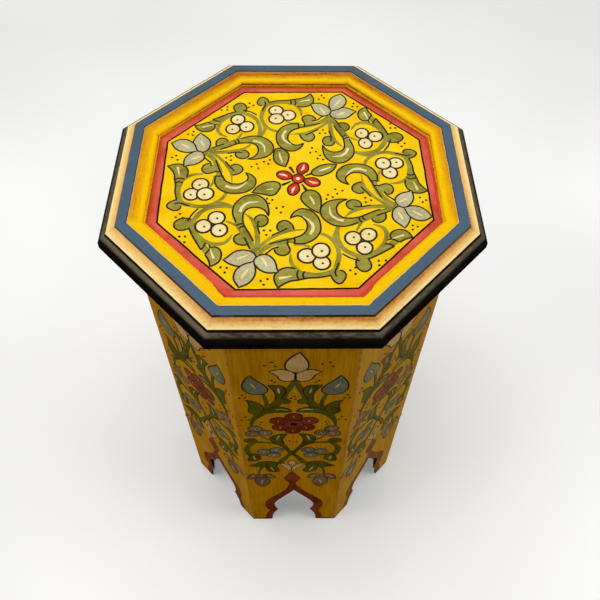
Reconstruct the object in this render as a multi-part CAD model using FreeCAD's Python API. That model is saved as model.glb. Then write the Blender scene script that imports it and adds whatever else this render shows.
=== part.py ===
import FreeCAD, Part
import math
import os

# Octagonal side table: a straight eight-sided body on pierced feet under a
# tray-like top. Millimetres, Z up, floor at zero, the front panel faces -Y.

# Overall sizes
OVERALL_HEIGHT = 630.0
TOP_FLATS = 360.0        # top board, across its flats
BODY_FLATS = 308.0       # body, across its flats

# Top board
BOARD_THICK = 20.0
BOARD_ROUND = 8.6        # radius on the upper edge of the board
BOARD_ROUND_LOW = 7.2    # the same on its lower edge

# Rim moulding, drawn as widths going inwards and heights above the board
RIM_HEIGHT = 10.0
RIM_WIDTH = 34.4
RIM_OUTER_WALL = 2.6     # plain upright wall at the outer foot
RIM_OUTER_SLOPE = 9.6    # width of the sloped outer face
RIM_FLAT = 9.2           # width of the flat crown
RIM_QUIRK = 1.2          # step beside the crown, on both of its edges
RIM_OUTER_SWELL = -0.7   # how far the outer slope stands proud of a straight bevel, hollow below zero
RIM_INNER_SWELL = 2.4    # the same for the rounded inner face
RIM_LIP = 1.5            # upright lip at the inner foot
RIM_LIP_FLAT = 1.2       # ledge on top of that lip

# Side panels
PANEL_THICK = 8.0
PANEL_ARRIS = 1.5        # rounding of the body's outer corners

# Pierced arch at the foot of each panel, half widths and heights
ARCH_FOOT = 34.0
ARCH_CUSP = 24.3
ARCH_CUSP_Z = 50.0
ARCH_LOBE = 28.9
ARCH_LOBE_Z = 76.0
ARCH_APEX_Z = 144.0
ARCH_FLANK = 9.0         # sideways lean of the curve as it leaves the apex
ARCH_FLANK_DROP = 21.5
ARCH_SHOULDER = 19.0     # height over which the shoulder turns upright
ARCH_UNDERCUT = 13.0     # height over which the lobe turns in to the cusp
ARCH_CUSP_RUN = 2.0
ARCH_CUSP_DROP = 6.0
ARCH_LOWER_RUN = 5.5
ARCH_LOWER_DROP = 11.0
ARCH_LOWER_TURN = 22.0
ARCH_TOE = 4.0           # rounding of each foot's inner corner
ARCH_LAND = 1.5          # square edge at the face, before the bevel begins
ARCH_BEVEL = 8.0         # how much further the opening reaches each way at the back
ARCH_BEVEL_RISE = 2.0    # rise of the apex for each millimetre of that reach

# Blocks glued into the body's inner corners
BLOCK_LEG = 20.0
BLOCK_DEPTH = 10.0
BLOCK_FOOT_Z = 30.0

# Cleats that hold the top
CLEAT_SIZE = 20.0
CLEAT_END_GAP = 1.0      # between a cleat and the blocks beside it
CLEAT_NAIL_SPACING = 48.0

# Fixings
SCREW_RADIUS = 2.0
SCREW_HEAD_RADIUS = 4.0
SCREW_HEAD_HEIGHT = 2.4
SCREW_POINT = 4.0
SCREW_SLOT_WIDE = 1.2
SCREW_SLOT_DEEP = 1.1
SCREW_BITE = 12.0        # screw length inside the board
NAIL_SIZE = 2.2          # square cut nails, cleat to panel
NAIL_HEAD_SIZE = 4.4
NAIL_HEAD_THICK = 1.0
NAIL_BITE = 5.5          # nail length inside the panel
BRAD_SIZE = 1.4          # square headless brads, rim to board
BRAD_IN_RIM = 7.0
BRAD_IN_BOARD = 9.0
BRAD_SPACING = 70.0
FIXING_CLEARANCE = 0.1   # all round a screw, nail or brad

# Working values
SIDES = 8
MITRE = math.pi / SIDES
OVERCUT = 5.0
TOUCH = 0.01             # how near two heights are when they count as one
BODY_HEIGHT = OVERALL_HEIGHT - RIM_HEIGHT - BOARD_THICK
BOARD_TOP_Z = BODY_HEIGHT + BOARD_THICK
BODY_APOTHEM = BODY_FLATS / 2
INNER_APOTHEM = BODY_APOTHEM - PANEL_THICK
RIM_OUTER = TOP_FLATS / 2 - BOARD_ROUND
RIM_INNER = RIM_OUTER - RIM_WIDTH
CROWN_OUTER = RIM_OUTER - RIM_OUTER_SLOPE
CROWN_INNER = CROWN_OUTER - RIM_FLAT
BRAD_APOTHEM = (CROWN_OUTER + CROWN_INNER) / 2
CLEAT_APOTHEM = INNER_APOTHEM - CLEAT_SIZE / 2
CLEAT_LENGTH = 2 * (INNER_APOTHEM * math.tan(MITRE) - BLOCK_LEG - CLEAT_END_GAP)

SIDE_NAMES = ["front", "front_right", "right", "back_right",
              "back", "back_left", "left", "front_left"]


def vec(x, y, z=0.0):
    """A point or direction."""
    return FreeCAD.Vector(x, y, z)


def turned(shape, steps):
    """A copy of a shape drawn on the +X side, turned to another side of the table.

    Step 0 is the front; a half step lands on a corner.
    """
    copy = shape.copy()
    angle = -90.0 + steps * 360.0 / SIDES
    copy.rotate(vec(0, 0, 0), vec(0, 0, 1), angle)
    return copy


def line(a, b):
    """A straight edge."""
    return Part.makeLine(a, b)


def bezier(*poles):
    """A smooth edge from its control points."""
    curve = Part.BezierCurve()
    curve.setPoles(list(poles))
    return curve.toShape()


def swelled(a, b, swell):
    """An arc in the XZ plane that stands off its chord by swell, on the left of a to b."""
    chord = b - a
    side = vec(-chord.z, 0, chord.x).normalize()
    return Part.Arc(a, (a + b) / 2 + side * swell, b).toShape()


def chain(points):
    """Straight edges through the points in turn."""
    return [line(a, b) for a, b in zip(points[:-1], points[1:])]


def prism(edges, direction):
    """A solid swept straight from a closed flat outline."""
    return Part.Face(Part.Wire(edges)).extrude(direction)


def octagon_prism(apothem, z_low, height):
    """An upright octagonal block with a flat side to the front."""
    radius = apothem / math.cos(MITRE)
    points = []
    for step in range(SIDES + 1):
        angle = (2 * step + 1) * MITRE
        points.append(vec(radius * math.cos(angle), radius * math.sin(angle), z_low))
    return prism(chain(points), vec(0, 0, height))


def square_bar(size, base, reach):
    """A square bar centred on the line from its base along the vector reach."""
    half = size / 2
    turn = FreeCAD.Rotation(vec(0, 0, 1), reach)
    bar = Part.makeBox(size, size, reach.Length, vec(-half, -half, 0))
    bar.Placement = FreeCAD.Placement(base, turn).multiply(bar.Placement)
    return bar


def screw_base():
    """Where the head of a cleat's screw bears, on the cleat's underside."""
    return vec(CLEAT_APOTHEM, 0, BODY_HEIGHT - CLEAT_SIZE)


def screw_length():
    """From under the head, through the cleat, to the point in the board."""
    return CLEAT_SIZE + SCREW_BITE


def screw():
    """A slotted screw that bears under the cleat and drives up into the board."""
    length, top = screw_length(), -SCREW_HEAD_HEIGHT
    outline = chain([vec(0, 0, top), vec(0, 0, length),
                     vec(SCREW_RADIUS, 0, length - SCREW_POINT), vec(SCREW_RADIUS, 0, 0),
                     vec(SCREW_HEAD_RADIUS, 0, 0), vec(SCREW_HEAD_RADIUS, 0, top), vec(0, 0, top)])
    body = Part.Face(Part.Wire(outline)).revolve(vec(0, 0, 0), vec(0, 0, 1), 360)
    slot = Part.makeBox(4 * SCREW_HEAD_RADIUS, SCREW_SLOT_WIDE, SCREW_SLOT_DEEP + OVERCUT,
                        vec(-2 * SCREW_HEAD_RADIUS, -SCREW_SLOT_WIDE / 2, top - OVERCUT))
    body = body.cut(slot)
    body.translate(screw_base())
    return body


def screw_hole():
    """The clearance hole for a cleat's screw, ending where the point ends."""
    return Part.makeCylinder(SCREW_RADIUS + FIXING_CLEARANCE, screw_length(), screw_base())


def paired(spacing):
    """Sideways places of two fixings that straddle the middle of a side."""
    return (-spacing / 2, spacing / 2)


def nail_shanks(size):
    """Bars from the cleat's inner face into the panel, as nails or as their holes."""
    x, z = INNER_APOTHEM - CLEAT_SIZE, BODY_HEIGHT - CLEAT_SIZE / 2
    reach = vec(CLEAT_SIZE + NAIL_BITE, 0, 0)
    return [square_bar(size, vec(x, y, z), reach) for y in paired(CLEAT_NAIL_SPACING)]


def nails():
    """The two cut nails of one cleat, with heads that bear on its inner face."""
    x, z = INNER_APOTHEM - CLEAT_SIZE, BODY_HEIGHT - CLEAT_SIZE / 2
    heads = [square_bar(NAIL_HEAD_SIZE, vec(x, y, z), vec(-NAIL_HEAD_THICK, 0, 0))
             for y in paired(CLEAT_NAIL_SPACING)]
    return [shank.fuse(head).removeSplitter() for shank, head in zip(nail_shanks(NAIL_SIZE), heads)]


def brads(size):
    """The two bars that pin one rim moulding to the board, as brads or as their holes."""
    z = BOARD_TOP_Z - BRAD_IN_BOARD
    reach = vec(0, 0, BRAD_IN_RIM + BRAD_IN_BOARD)
    return [square_bar(size, vec(BRAD_APOTHEM, y, z), reach) for y in paired(BRAD_SPACING)]


def nail_holes():
    """The holes for the two nails of one cleat."""
    return nail_shanks(NAIL_SIZE + 2 * FIXING_CLEARANCE)


def brad_holes():
    """The holes for the two brads of one moulding."""
    return brads(BRAD_SIZE + 2 * FIXING_CLEARANCE)


def top_board():
    """The octagonal board with a rounded edge and the holes for its fixings."""
    board = octagon_prism(TOP_FLATS / 2, BODY_HEIGHT, BOARD_THICK)
    for z, radius in ((BOARD_TOP_Z, BOARD_ROUND), (BODY_HEIGHT, BOARD_ROUND_LOW)):
        level = [e for e in board.Edges if all(abs(v.Point.z - z) < TOUCH for v in e.Vertexes)]
        board = board.makeFillet(radius, level)
    side_holes = [screw_hole()] + brad_holes()
    return board.cut([turned(hole, step) for step in range(SIDES) for hole in side_holes])


def rim_profile():
    """Cross-section of the rim: outer slope, flat crown, rounded inner face, lip."""
    z0 = BOARD_TOP_Z
    crown = z0 + RIM_HEIGHT
    shoulder = crown - RIM_QUIRK
    wall = z0 + RIM_OUTER_WALL
    ledge = z0 + RIM_LIP
    thumb_foot = RIM_INNER + RIM_LIP_FLAT
    thumb_head = CROWN_INNER - RIM_QUIRK
    edges = chain([vec(RIM_INNER, 0, ledge), vec(RIM_INNER, 0, z0), vec(RIM_OUTER, 0, z0),
                   vec(RIM_OUTER, 0, wall)])
    edges.append(swelled(vec(CROWN_OUTER, 0, shoulder), vec(RIM_OUTER, 0, wall), RIM_OUTER_SWELL))
    edges += chain([vec(CROWN_OUTER, 0, shoulder), vec(CROWN_OUTER, 0, crown),
                    vec(CROWN_INNER, 0, crown), vec(CROWN_INNER, 0, shoulder),
                    vec(thumb_head, 0, shoulder)])
    edges.append(swelled(vec(thumb_foot, 0, ledge), vec(thumb_head, 0, shoulder), RIM_INNER_SWELL))
    edges.append(line(vec(thumb_foot, 0, ledge), vec(RIM_INNER, 0, ledge)))
    return edges


def rim_moulding():
    """One length of rim, mitred at both ends and bored from below for its brads."""
    reach = TOP_FLATS / 2
    bar = prism(rim_profile(), vec(0, 2 * reach, 0))
    bar.translate(vec(0, -reach, 0))
    spread = reach * math.tan(MITRE)
    wedge = prism(chain([vec(0, 0, 0), vec(reach, -spread, 0), vec(reach, spread, 0),
                         vec(0, 0, 0)]), vec(0, 0, OVERALL_HEIGHT + OVERCUT))
    return bar.common(wedge).cut(brad_holes())


def panel_plan():
    """Plan of one panel: mitred ends and half of each rounded body corner."""
    a, r = BODY_APOTHEM, PANEL_ARRIS
    slope = math.tan(MITRE)
    start = (a - r) * slope

    def on_round(angle, side):
        return vec(a - r + r * math.cos(angle), side * (start + r * math.sin(angle)))

    def round_edge(side):
        return Part.Arc(on_round(0, side), on_round(MITRE / 2, side),
                        on_round(MITRE, side)).toShape()

    inner = vec(INNER_APOTHEM, INNER_APOTHEM * slope)
    inner_low = vec(INNER_APOTHEM, -INNER_APOTHEM * slope)
    edges = [line(on_round(0, -1), on_round(0, 1)), round_edge(1)]
    edges += chain([on_round(MITRE, 1), inner, inner_low, on_round(MITRE, -1)])
    edges.append(round_edge(-1))
    return edges


def arch_half(side, x, reach):
    """One half of the arch's outline in the plane x, widened by reach, from the apex to the toe."""
    apex_z = ARCH_APEX_Z + reach * ARCH_BEVEL_RISE
    lobe = ARCH_LOBE + reach
    cusp = ARCH_CUSP + reach
    foot = ARCH_FOOT + reach
    flank = [(0.0, apex_z), (ARCH_FLANK, apex_z - ARCH_FLANK_DROP),
             (lobe, ARCH_LOBE_Z + ARCH_SHOULDER), (lobe, ARCH_LOBE_Z)]
    under = [(lobe, ARCH_LOBE_Z), (lobe, ARCH_LOBE_Z - ARCH_UNDERCUT),
             (cusp + ARCH_CUSP_RUN, ARCH_CUSP_Z + ARCH_CUSP_DROP), (cusp, ARCH_CUSP_Z)]
    lower = [(cusp, ARCH_CUSP_Z), (cusp + ARCH_LOWER_RUN, ARCH_CUSP_Z - ARCH_LOWER_DROP),
             (foot, ARCH_LOWER_TURN), (foot, ARCH_TOE)]
    edges = [bezier(*[vec(x, side * y, z) for y, z in run]) for run in (flank, under, lower)]
    mid_toe = ARCH_TOE * (1 - math.sqrt(0.5))
    edges.append(Part.Arc(vec(x, side * foot, ARCH_TOE), vec(x, side * (foot + mid_toe), mid_toe),
                          vec(x, side * (foot + ARCH_TOE), 0)).toShape())
    return edges


def arch_outline(x, reach):
    """The whole arch in the plane x, closed below the floor."""
    toe = ARCH_FOOT + reach + ARCH_TOE
    sill = chain([vec(x, toe, 0), vec(x, toe, -OVERCUT), vec(x, -toe, -OVERCUT), vec(x, -toe, 0)])
    left = arch_half(-1, x, reach)
    return Part.Wire(arch_half(1, x, reach) + sill + left[::-1])


def arch_cutters():
    """What the arch takes out of a panel: a square edge at the face and a bevel behind it."""
    land = BODY_APOTHEM - ARCH_LAND
    far = INNER_APOTHEM - OVERCUT
    far_reach = ARCH_BEVEL * (land - far) / (land - INNER_APOTHEM)
    face = arch_outline(land, 0.0)
    edge = Part.Face(face).extrude(vec(ARCH_LAND + OVERCUT, 0, 0))
    return [edge, Part.makeLoft([face, arch_outline(far, far_reach)], True, True)]


def side_panel():
    """One mitred panel with its arch and the holes for its cleat's nails."""
    panel = prism(panel_plan(), vec(0, 0, BODY_HEIGHT))
    return panel.cut(arch_cutters() + nail_holes())


def corner_block():
    """A block that fits the 135 degree inner corner, drawn on the +X axis."""
    along = vec(-math.sin(MITRE), math.cos(MITRE))
    inward = vec(-math.cos(MITRE), -math.sin(MITRE))
    corner = vec(INNER_APOTHEM / math.cos(MITRE), 0)
    leg = corner + along * BLOCK_LEG
    shoulder = leg + inward * BLOCK_DEPTH

    def mirrored(p):
        return vec(p.x, -p.y)

    points = [corner, leg, shoulder, mirrored(shoulder), mirrored(leg), corner]
    block = prism(chain(points), vec(0, 0, BODY_HEIGHT - BLOCK_FOOT_Z))
    block.translate(vec(0, 0, BLOCK_FOOT_Z))
    return block


def cleat():
    """A square strip in the angle of a panel and the board, bored both ways."""
    strip = Part.makeBox(CLEAT_SIZE, CLEAT_LENGTH, CLEAT_SIZE,
                         vec(INNER_APOTHEM - CLEAT_SIZE, -CLEAT_LENGTH / 2,
                             BODY_HEIGHT - CLEAT_SIZE))
    return strip.cut([screw_hole()] + nail_holes())


def around(shapes):
    """The shapes of one side repeated on every side, as one group."""
    return Part.makeCompound([turned(s, step) for step in range(SIDES) for s in shapes])


def save(name, shape):
    """Write one node."""
    shape.exportStep("parts/" + name + ".step")


def main():
    os.makedirs("parts", exist_ok=True)
    save("top_board", top_board())
    rim, panel, strip, block = rim_moulding(), side_panel(), cleat(), corner_block()
    for step, name in enumerate(SIDE_NAMES):
        save("rim_" + name, turned(rim, step))
        save("panel_" + name, turned(panel, step))
        save("cleat_" + name, turned(strip, step))
        save("corner_block_%d" % (step + 1), turned(block, step + 0.5))
    save("cleat_screws", around([screw()]))
    save("cleat_nails", around(nails()))
    save("rim_brads", around(brads(BRAD_SIZE)))


main()
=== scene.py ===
"""Octagonal painted side table: paint, ornament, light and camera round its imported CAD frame."""
import logging
import math
from dataclasses import dataclass, field, replace
from enum import Enum

import bmesh
import bpy
from bpy.types import Material, Mesh, Node, NodeSocket, NodeTree, Object
from mathutils import Matrix, Vector, noise


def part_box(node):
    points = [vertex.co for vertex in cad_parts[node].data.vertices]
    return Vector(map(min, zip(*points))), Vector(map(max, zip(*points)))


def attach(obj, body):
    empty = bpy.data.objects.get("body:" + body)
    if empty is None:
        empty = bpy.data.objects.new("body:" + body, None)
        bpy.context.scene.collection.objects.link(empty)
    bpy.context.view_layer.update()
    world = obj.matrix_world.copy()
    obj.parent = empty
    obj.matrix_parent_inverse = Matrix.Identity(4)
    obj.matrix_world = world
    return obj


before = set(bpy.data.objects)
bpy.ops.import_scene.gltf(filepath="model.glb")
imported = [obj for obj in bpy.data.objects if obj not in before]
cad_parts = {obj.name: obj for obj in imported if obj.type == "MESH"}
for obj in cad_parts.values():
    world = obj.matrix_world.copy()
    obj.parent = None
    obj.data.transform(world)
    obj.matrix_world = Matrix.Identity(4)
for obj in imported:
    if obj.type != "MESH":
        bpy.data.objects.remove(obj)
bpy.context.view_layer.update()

LOG = logging.getLogger("side_table")

MM = 0.001
BODY = "root"
# Seed of the stray of the painter's hand, so that every run paints the same.
HAND_SEED = 7
SIDES = 8
SIDE_TURN = math.tau / SIDES
BOARD_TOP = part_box("top_board")[1].z / MM
BODY_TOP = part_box("panel_front")[1].z / MM

FRONT_RIGHT = (math.sqrt(0.5), -math.sqrt(0.5), 0.0)
FRONT_LEFT = (-math.sqrt(0.5), -math.sqrt(0.5), 0.0)

# Specular level of paint that has gone dull.
DULL = 0.0
# Painted sheen, a grey veil that stands in for glare on the body's two front corner sides: how much it hides
# of each side, the distances from the axis at which it begins and is whole, and its colour.
SHEEN_COVERS = ((FRONT_RIGHT, 0.25), (FRONT_LEFT, 0.12))
SHEEN_RISE = (151.5, 153.5)
SHEEN_COLOUR = "#a09364"
# The paint film in millimetres: depth below its ground, height above it, rise from one mark to the next.
SINK = 0.03
FILM = 0.08
RISE = 0.0025
DOT_RADIUS = 1.15
# Sizes of a streak of the brush along the axes, in millimetres.
LEVEL_DRAG = (9.0, 5.0, 9.0)
SHORT_DRAG = (2.0, 2.0, 8.0)
LONG_DRAG = (6.0, 6.0, 30.0)

Point = tuple[float, ...]
Mark = tuple["Hue", Mesh]
Source = Node | NodeSocket


def linear(code: str) -> tuple[float, float, float, float]:
    """Turns an sRGB hex colour, six digits after a hash, into linear RGBA."""
    values = [int(code[i:i + 2], 16) / 255 for i in (1, 3, 5)]
    return (*[v / 12.92 if v <= 0.04045 else ((v + 0.055) / 1.055) ** 2.4 for v in values], 1.0)


def feed(tree: NodeTree, made: Node, inputs: dict) -> None:
    """Sets or links the inputs of a node.

    Args:
        tree: The node's tree.
        made: The node.
        inputs: Values, hex colours, or nodes and sockets to link, by name or by place among the shown inputs.
    """
    shown = [socket for socket in made.inputs if socket.enabled]
    for key, value in inputs.items():
        socket = shown[key] if isinstance(key, int) else next(s for s in shown if s.name == key)
        if isinstance(value, Node):
            value = next(s for s in value.outputs if s.enabled)
        if isinstance(value, NodeSocket):
            tree.links.new(value, socket)
        else:
            socket.default_value = linear(value) if isinstance(value, str) else value


def node(tree: NodeTree, kind: str, inputs: dict | None = None, stops: tuple = (), **settings) -> Node:
    """Adds one shader node with its settings, values and links.

    Args:
        tree: The node tree that takes it.
        kind: The node's type without its ShaderNode prefix, with its operation or data type after a dot.
        inputs: What its inputs get, as for feed.
        stops: Positions and hex colours, where the node is a colour ramp.
        settings: Other properties of the node.

    Returns:
        The new node.
    """
    kind, _, mode = kind.partition(".")
    made = tree.nodes.new("ShaderNode" + kind)
    if mode:
        settings["data_type" if kind == "Mix" else "operation"] = mode
    for name, value in settings.items():
        setattr(made, name, value)
    for i, (position, code) in enumerate(stops):
        elements = made.color_ramp.elements
        stop = elements[i] if i < len(elements) else elements.new(position)
        stop.position = position
        stop.color = linear(code)
    feed(tree, made, inputs or {})
    return made


@dataclass(frozen=True)
class Surface:
    """A new material with its tree, its shader and its object coordinates."""

    material: Material
    tree: NodeTree
    shader: Node
    place: NodeSocket

    @classmethod
    def new(cls, name: str, roughness: float, gloss: float = 0.5) -> "Surface":
        """Starts a material on a principled shader.

        Args:
            name: The material's name.
            roughness: Roughness of the base, where nothing is linked to it.
            gloss: Specular level, from nought for chalk to a half for clean varnish.

        Returns:
            The surface, ready for its colour nodes.
        """
        material = bpy.data.materials.new(name)
        material.use_nodes = True
        tree = material.node_tree
        shader = tree.nodes["Principled BSDF"]
        feed(tree, shader, {"Roughness": roughness, "Specular IOR Level": gloss})
        return cls(material, tree, shader, node(tree, "TexCoord").outputs["Object"])

    def add(self, kind: str, *details, **settings) -> Node:
        """Adds a node to this material's tree, as the function node does."""
        return node(self.tree, kind, *details, **settings)

    def axes(self) -> tuple[NodeSocket, ...]:
        """The place to the right, to the back and up from the floor, in millimetres."""
        scaled = self.add("VectorMath.SCALE", {0: self.place, "Scale": 1 / MM})
        return tuple(self.add("SeparateXYZ", {0: scaled}).outputs)

    def toward(self, way: Point) -> NodeSocket:
        """How far the place lies along a direction from the table's axis, in millimetres."""
        return self.add("VectorMath.DOT_PRODUCT", {0: self.place, 1: [v / MM for v in way]}).outputs["Value"]

    def grain(self, size: Point, detail: float = 3.0, distortion: float = 0.0) -> NodeSocket:
        """A noise around one half, whose features have a given size in millimetres along X, Y and Z."""
        stretched = self.add("Mapping", {"Vector": self.place, "Scale": [1 / (s * MM) for s in size]})
        return self.add("TexNoise", {"Vector": stretched, "Scale": 1.0, "Detail": detail,
                                     "Distortion": distortion}).outputs["Fac"]

    def octagon(self, middle: Point = (0.0, 0.0, 0.0), turn: float = 0.0) -> tuple[Source, Source]:
        """Distance from an octagon's axis square to the nearest side, and along that side from its middle.

        Args:
            middle: Middle of the octagon in millimetres.
            turn: Degrees that it is turned, anticlockwise from above.

        Returns:
            Two nodes, both in millimetres.
        """
        own = self.add("Mapping", {"Vector": self.place, "Location": [v * MM for v in middle],
                                   "Rotation": (0.0, 0.0, math.radians(turn))}, vector_type="TEXTURE")
        plan = self.add("VectorMath.MULTIPLY", {0: own, 1: (1 / MM, 1 / MM, 0.0)})
        axes = self.add("SeparateXYZ", {0: self.add("VectorMath.ABSOLUTE", {0: plan})}).outputs
        straight = self.add("Math.MAXIMUM", {0: axes[0], 1: axes[1]})
        both = self.add("Math.ADD", {0: axes[0], 1: axes[1]})
        slanted = self.add("Math.MULTIPLY", {0: both, 1: math.sqrt(0.5)})
        out = self.add("Math.MAXIMUM", {0: straight, 1: slanted})
        whole = self.add("VectorMath.DOT_PRODUCT", {0: plan, 1: plan}).outputs["Value"]
        rest = self.add("Math.SUBTRACT", {0: whole, 1: self.add("Math.POWER", {0: out, 1: 2.0})})
        return out, self.add("Math.SQRT", {0: rest})

    def painted_sheen(self, colour: Source) -> Source:
        """Lays a painted sheen, a grey veil that stands in for glare, over the body's two front corner sides.

        Args:
            colour: The clear colour.

        Returns:
            The colour under the painted sheen.
        """
        for way, cover in SHEEN_COVERS:
            veil = self.add("MapRange", {0: self.toward(way), 1: SHEEN_RISE[0], 2: SHEEN_RISE[1], 4: cover})
            colour = self.add("Mix.RGBA", {0: veil, 1: colour, 2: SHEEN_COLOUR})
        return colour

    def finish(self, colour: Source, bump: Source | None = None, depth: float = 0.0,
               roughness: Source | None = None) -> Material:
        """Links the colour, relief and gloss to the shader.

        Args:
            colour: The base colour.
            bump: The relief, if any.
            depth: Depth of the relief in millimetres.
            roughness: The roughness, if it varies.

        Returns:
            The finished material.
        """
        inputs = {"Base Color": colour}
        if roughness is not None:
            inputs["Roughness"] = roughness
        if bump is not None:
            inputs["Normal"] = self.add("Bump", {"Height": bump, "Distance": depth * MM, "Strength": 1.0})
        feed(self.tree, self.shader, inputs)
        return self.material


@dataclass(frozen=True)
class BrushedPaint:
    """Opaque craft paint put on by hand: the brush leaves streaks, thin places and a slight ridge."""

    name: str
    colour: str
    thin: str
    loaded: str
    drag: Point = LEVEL_DRAG
    gloss: float = 0.06
    cloud: float = 28.0

    def material(self) -> Material:
        """Makes the paint, satin where the varnish lies over it.

        Returns:
            The material.
        """
        surface = Surface.new(self.name, 0.5, self.gloss)
        streak = surface.grain(self.drag, 4.0, 0.4)
        cloud = surface.grain((self.cloud, self.cloud, self.cloud), 2.0)
        mixed = surface.add("Math.ADD", {0: streak, 1: cloud})
        tone = surface.add("ValToRGB", {0: surface.add("Math.MULTIPLY", {0: mixed, 1: 0.5})},
                           ((0.36, self.thin), (0.5, self.colour), (0.66, self.loaded)))
        gloss = surface.add("MapRange", {0: streak, 3: 0.36, 4: 0.56})
        # On the body's front corner sides a painted sheen is laid over the paint.
        return surface.finish(surface.painted_sheen(tone), streak, 0.06, gloss)


class Hue(Enum):
    """The paints of the ornament: those of the top, and darker copies for the body, whose deeper tone is
    partly painted shade.
    """

    OLIVE = BrushedPaint("olive_craft_paint", "#9a9136", "#7f7628", "#aca24a")
    LINE = BrushedPaint("umber_liner_paint", "#2b2314", "#3a2f1a", "#1e170d")
    PETAL = BrushedPaint("pale_grey_craft_paint", "#c2ba8a", "#aca67e", "#d0ca9e", (2.5, 2.5, 2.5))
    BERRY = BrushedPaint("ivory_craft_paint", "#f6e2a2", "#efcc80", "#f9ebb8")
    RED = BrushedPaint("vermilion_craft_paint", "#d23424", "#ae2818", "#dc4a36")
    LIGHT = BrushedPaint("cream_highlight_paint", "#f6e6a8", "#ead38a", "#fbf3cc")
    # The body's paints are darker copies, partly painted shade on its upright sides.
    BODY_OLIVE = BrushedPaint("shaded_deep_olive_craft_paint", "#5e5612", "#48430c", "#6e651b", LONG_DRAG, DULL)
    BODY_LINE = BrushedPaint("umber_body_liner_paint", "#2b1c0d", "#3d2a12", "#1c1208", LEVEL_DRAG, DULL)
    TULIP = BrushedPaint("shell_pink_craft_paint", "#dbab6a", "#c29356", "#e9c086", SHORT_DRAG, DULL)
    SLATE = BrushedPaint("slate_blue_craft_paint", "#7d795e", "#636354", "#8f896c", SHORT_DRAG, DULL)
    MAUVE = BrushedPaint("mauve_craft_paint", "#87694d", "#71503a", "#9d8062", SHORT_DRAG, DULL)
    BODY_RED = BrushedPaint("brick_red_craft_paint", "#873820", "#6c2610", "#9a4a30", (2.5, 2.5, 8.0), DULL)
    BODY_LIGHT = BrushedPaint("dull_cream_highlight_paint", "#c3ad6c", "#a08e54", "#dccb98", LEVEL_DRAG, DULL)
    ARCH_RED = BrushedPaint("ox_blood_craft_paint", "#863e20", "#6c2c12", "#964c2a", (5.0, 5.0, 30.0), DULL)


class Edge(Enum):
    """How the dark line runs round a painted shape."""

    NONE = 0
    OPEN = 1
    ROUND = 2


@dataclass(frozen=True)
class Patch:
    """A filled brush shape: points in millimetres, with a third value at a sharp corner."""

    hue: Hue
    points: tuple[Point, ...]
    edge: Edge = Edge.ROUND
    line: float = 0.85


@dataclass(frozen=True)
class Stroke:
    """One pull of the brush: points with the half width at each, in millimetres."""

    hue: Hue
    points: tuple[Point, ...]
    closed: bool = False
    sharp: tuple[int, ...] = ()


def mirror(points: tuple[Point, ...]) -> tuple[Point, ...]:
    """The same points on the other side of the motif's middle line."""
    return tuple((-p[0], *p[1:]) for p in points)


def turned(points: tuple[Point, ...], hub: Point, angle: float) -> tuple[Point, ...]:
    """The points turned by an angle in degrees and moved to a hub."""
    turn = Matrix.Rotation(math.radians(angle), 2)
    return tuple((*(Vector(hub) + turn @ Vector(p[:2])), *p[2:]) for p in points)


def disc(hue: Hue, x: float, y: float, radius: float, edge: Edge = Edge.ROUND, knots: int = 8,
         line: float = 0.85) -> Patch:
    """A round dab of paint, with a number of points round it and the half width of its dark line."""
    turns = [math.tau * i / knots for i in range(knots)]
    return Patch(hue, tuple((x + radius * math.cos(a), y + radius * math.sin(a)) for a in turns), edge, line)


def dots(hue: Hue, *places: Point) -> list[Patch]:
    """Small round dots with no outline."""
    return [disc(hue, x, y, DOT_RADIUS, Edge.NONE, 6) for x, y in places]


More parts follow.
